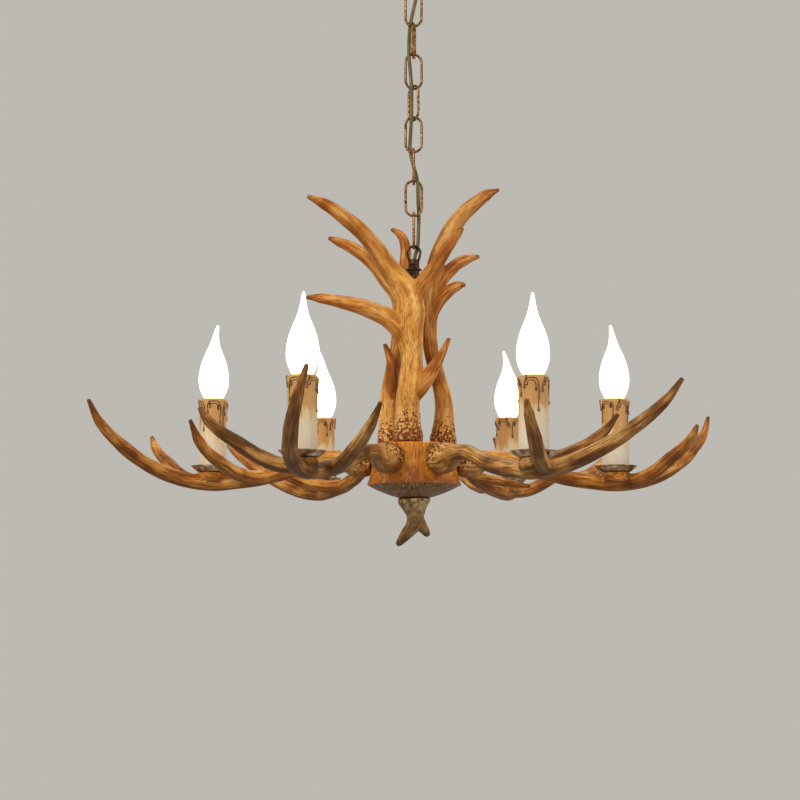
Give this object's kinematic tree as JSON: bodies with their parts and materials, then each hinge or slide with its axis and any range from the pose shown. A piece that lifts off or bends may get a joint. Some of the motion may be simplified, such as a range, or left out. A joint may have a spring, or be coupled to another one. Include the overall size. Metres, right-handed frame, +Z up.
{
  "type": "antler chandelier",
  "caption": "Ring of cast antler arms with candle lamps round a drum hub, crown of upright antlers, forked finial, hung by an oval-link chain with a woven cord.",
  "frame": {"origin": "centre of the mounting bar's upper face, where it meets the ceiling", "axes": "+Z up, +X to the viewer's right, +Y away from the viewer; the lamp hangs below the origin"},
  "size_m": [0.7286, 0.7184, 0.7152],
  "materials": {
    "bar_steel": "zinc plated",
    "antique_bronze": "antique bronze, satin",
    "zinc_steel": "zinc plated",
    "cord_cloth": "olive gold sheath",
    "chain_brass": "antiqued, hammered",
    "stem_bronze": "dark bronze",
    "hub_resin": "antler-look casting, satin",
    "finial_resin": "antler-look casting, mottled",
    "terminal_plastic": "plain",
    "lead_plastic": "plain",
    "crown_resin": "antler-look casting, satin",
    "antler_resin": "antler-look casting, satin",
    "pan_pewter": "aged pewter",
    "candle_resin": "amber glazed drips",
    "holder_plastic": "plain",
    "frosted_glass": "frosted, lit"
  },
  "bodies": {
    "ceiling": {"mounting_bar": "bar_steel", "ceiling_canopy": "antique_bronze", "canopy_rod": "zinc_steel", "canopy_lock_nut": "zinc_steel", "canopy_eye": "antique_bronze", "supply_cord": "cord_cloth"},
    "link_1": {"chain_link_1": "chain_brass"},
    "link_2": {"chain_link_2": "chain_brass"},
    "link_3": {"chain_link_3": "chain_brass"},
    "link_4": {"chain_link_4": "chain_brass"},
    "link_5": {"chain_link_5": "chain_brass"},
    "link_6": {"chain_link_6": "chain_brass"},
    "link_7": {"chain_link_7": "chain_brass"},
    "link_8": {"chain_link_8": "chain_brass"},
    "hanger": {"stem_loop": "stem_bronze"},
    "fixture": {"stem_collar": "stem_bronze", "stem_tube": "stem_bronze", "hub_body": "hub_resin", "hub_base": "hub_resin", "bottom_finial": "finial_resin", "hub_nuts": "zinc_steel", "terminal_block": "terminal_plastic", "lamp_leads": "lead_plastic", "arm_bolts": "zinc_steel", "crown_screws": "zinc_steel", "crown_antler_front": "crown_resin", "crown_antler_left": "crown_resin", "crown_antler_right": "crown_resin", "lamp_nipples": "zinc_steel", "arm_antler_1": "antler_resin", "drip_pan_1": "pan_pewter", "candle_sleeve_1": "candle_resin", "lamp_holder_1": "holder_plastic", "arm_antler_2": "antler_resin", "drip_pan_2": "pan_pewter", "candle_sleeve_2": "candle_resin", "lamp_holder_2": "holder_plastic", "arm_antler_3": "antler_resin", "drip_pan_3": "pan_pewter", "candle_sleeve_3": "candle_resin", "lamp_holder_3": "holder_plastic", "arm_antler_4": "antler_resin", "drip_pan_4": "pan_pewter", "candle_sleeve_4": "candle_resin", "lamp_holder_4": "holder_plastic", "arm_antler_5": "antler_resin", "drip_pan_5": "pan_pewter", "candle_sleeve_5": "candle_resin", "lamp_holder_5": "holder_plastic", "arm_antler_6": "antler_resin", "drip_pan_6": "pan_pewter", "candle_sleeve_6": "candle_resin", "lamp_holder_6": "holder_plastic"},
    "bulb_1": {"bulb_1": "frosted_glass"},
    "bulb_2": {"bulb_2": "frosted_glass"},
    "bulb_3": {"bulb_3": "frosted_glass"},
    "bulb_4": {"bulb_4": "frosted_glass"},
    "bulb_5": {"bulb_5": "frosted_glass"},
    "bulb_6": {"bulb_6": "frosted_glass"}
  },
  "joints": [
    {"name": "link_1_swing", "type": "hinge", "parent": "ceiling", "child": "link_1", "pos_m": [0, 0, -0.054], "axis": [0, 1, 0], "range_deg": [-8, 8], "deforming": ["supply_cord"]},
    {"name": "link_2_swing", "type": "hinge", "parent": "link_1", "child": "link_2", "pos_m": [0, 0, -0.0929], "axis": [1, 0, 0], "range_deg": [-8, 8]},
    {"name": "link_3_swing", "type": "hinge", "parent": "link_2", "child": "link_3", "pos_m": [0, 0, -0.1318], "axis": [0.1736, 0.9848, 0], "range_deg": [-8, 8]},
    {"name": "link_4_swing", "type": "hinge", "parent": "link_3", "child": "link_4", "pos_m": [0, 0, -0.1707], "axis": [0.9962, 0.0872, 0], "range_deg": [-8, 8]},
    {"name": "link_5_swing", "type": "hinge", "parent": "link_4", "child": "link_5", "pos_m": [0, 0, -0.2096], "axis": [0.5736, -0.8192, 0], "range_deg": [-8, 8]},
    {"name": "link_6_swing", "type": "hinge", "parent": "link_5", "child": "link_6", "pos_m": [0, 0, -0.2485], "axis": [1, 0, 0], "range_deg": [-8, 8]},
    {"name": "link_7_swing", "type": "hinge", "parent": "link_6", "child": "link_7", "pos_m": [0, 0, -0.2874], "axis": [0, 1, 0], "range_deg": [-8, 8]},
    {"name": "link_8_swing", "type": "hinge", "parent": "link_7", "child": "link_8", "pos_m": [0, 0, -0.3263], "axis": [1, 0, 0], "range_deg": [-8, 8]},
    {"name": "hanger_swing", "type": "hinge", "parent": "link_8", "child": "hanger", "pos_m": [0, 0, -0.3652], "axis": [0, 1, 0], "range_deg": [-8, 8]},
    {"name": "fixture_turn", "type": "hinge", "parent": "hanger", "child": "fixture", "pos_m": [0, 0, -0.3905], "axis": [0, 0, 1], "range_deg": [-30, 30]},
    {"name": "bulb_1_screw", "type": "hinge", "parent": "fixture", "child": "bulb_1", "pos_m": [0.234, 0, -0.5683], "axis": [0, 0, 1], "range_deg": [0, 180]},
    {"name": "bulb_2_screw", "type": "hinge", "parent": "fixture", "child": "bulb_2", "pos_m": [0.124, 0.19844, -0.5683], "axis": [0, 0, 1], "range_deg": [0, 180]},
    {"name": "bulb_3_screw", "type": "hinge", "parent": "fixture", "child": "bulb_3", "pos_m": [-0.117, 0.20265, -0.5683], "axis": [0, 0, 1], "range_deg": [0, 180]},
    {"name": "bulb_4_screw", "type": "hinge", "parent": "fixture", "child": "bulb_4", "pos_m": [-0.234, 0, -0.5683], "axis": [0, 0, 1], "range_deg": [0, 180]},
    {"name": "bulb_5_screw", "type": "hinge", "parent": "fixture", "child": "bulb_5", "pos_m": [-0.117, -0.20265, -0.5683], "axis": [0, 0, 1], "range_deg": [0, 180]},
    {"name": "bulb_6_screw", "type": "hinge", "parent": "fixture", "child": "bulb_6", "pos_m": [0.12157, -0.19994, -0.5683], "axis": [0, 0, 1], "range_deg": [0, 180]}
  ]
}
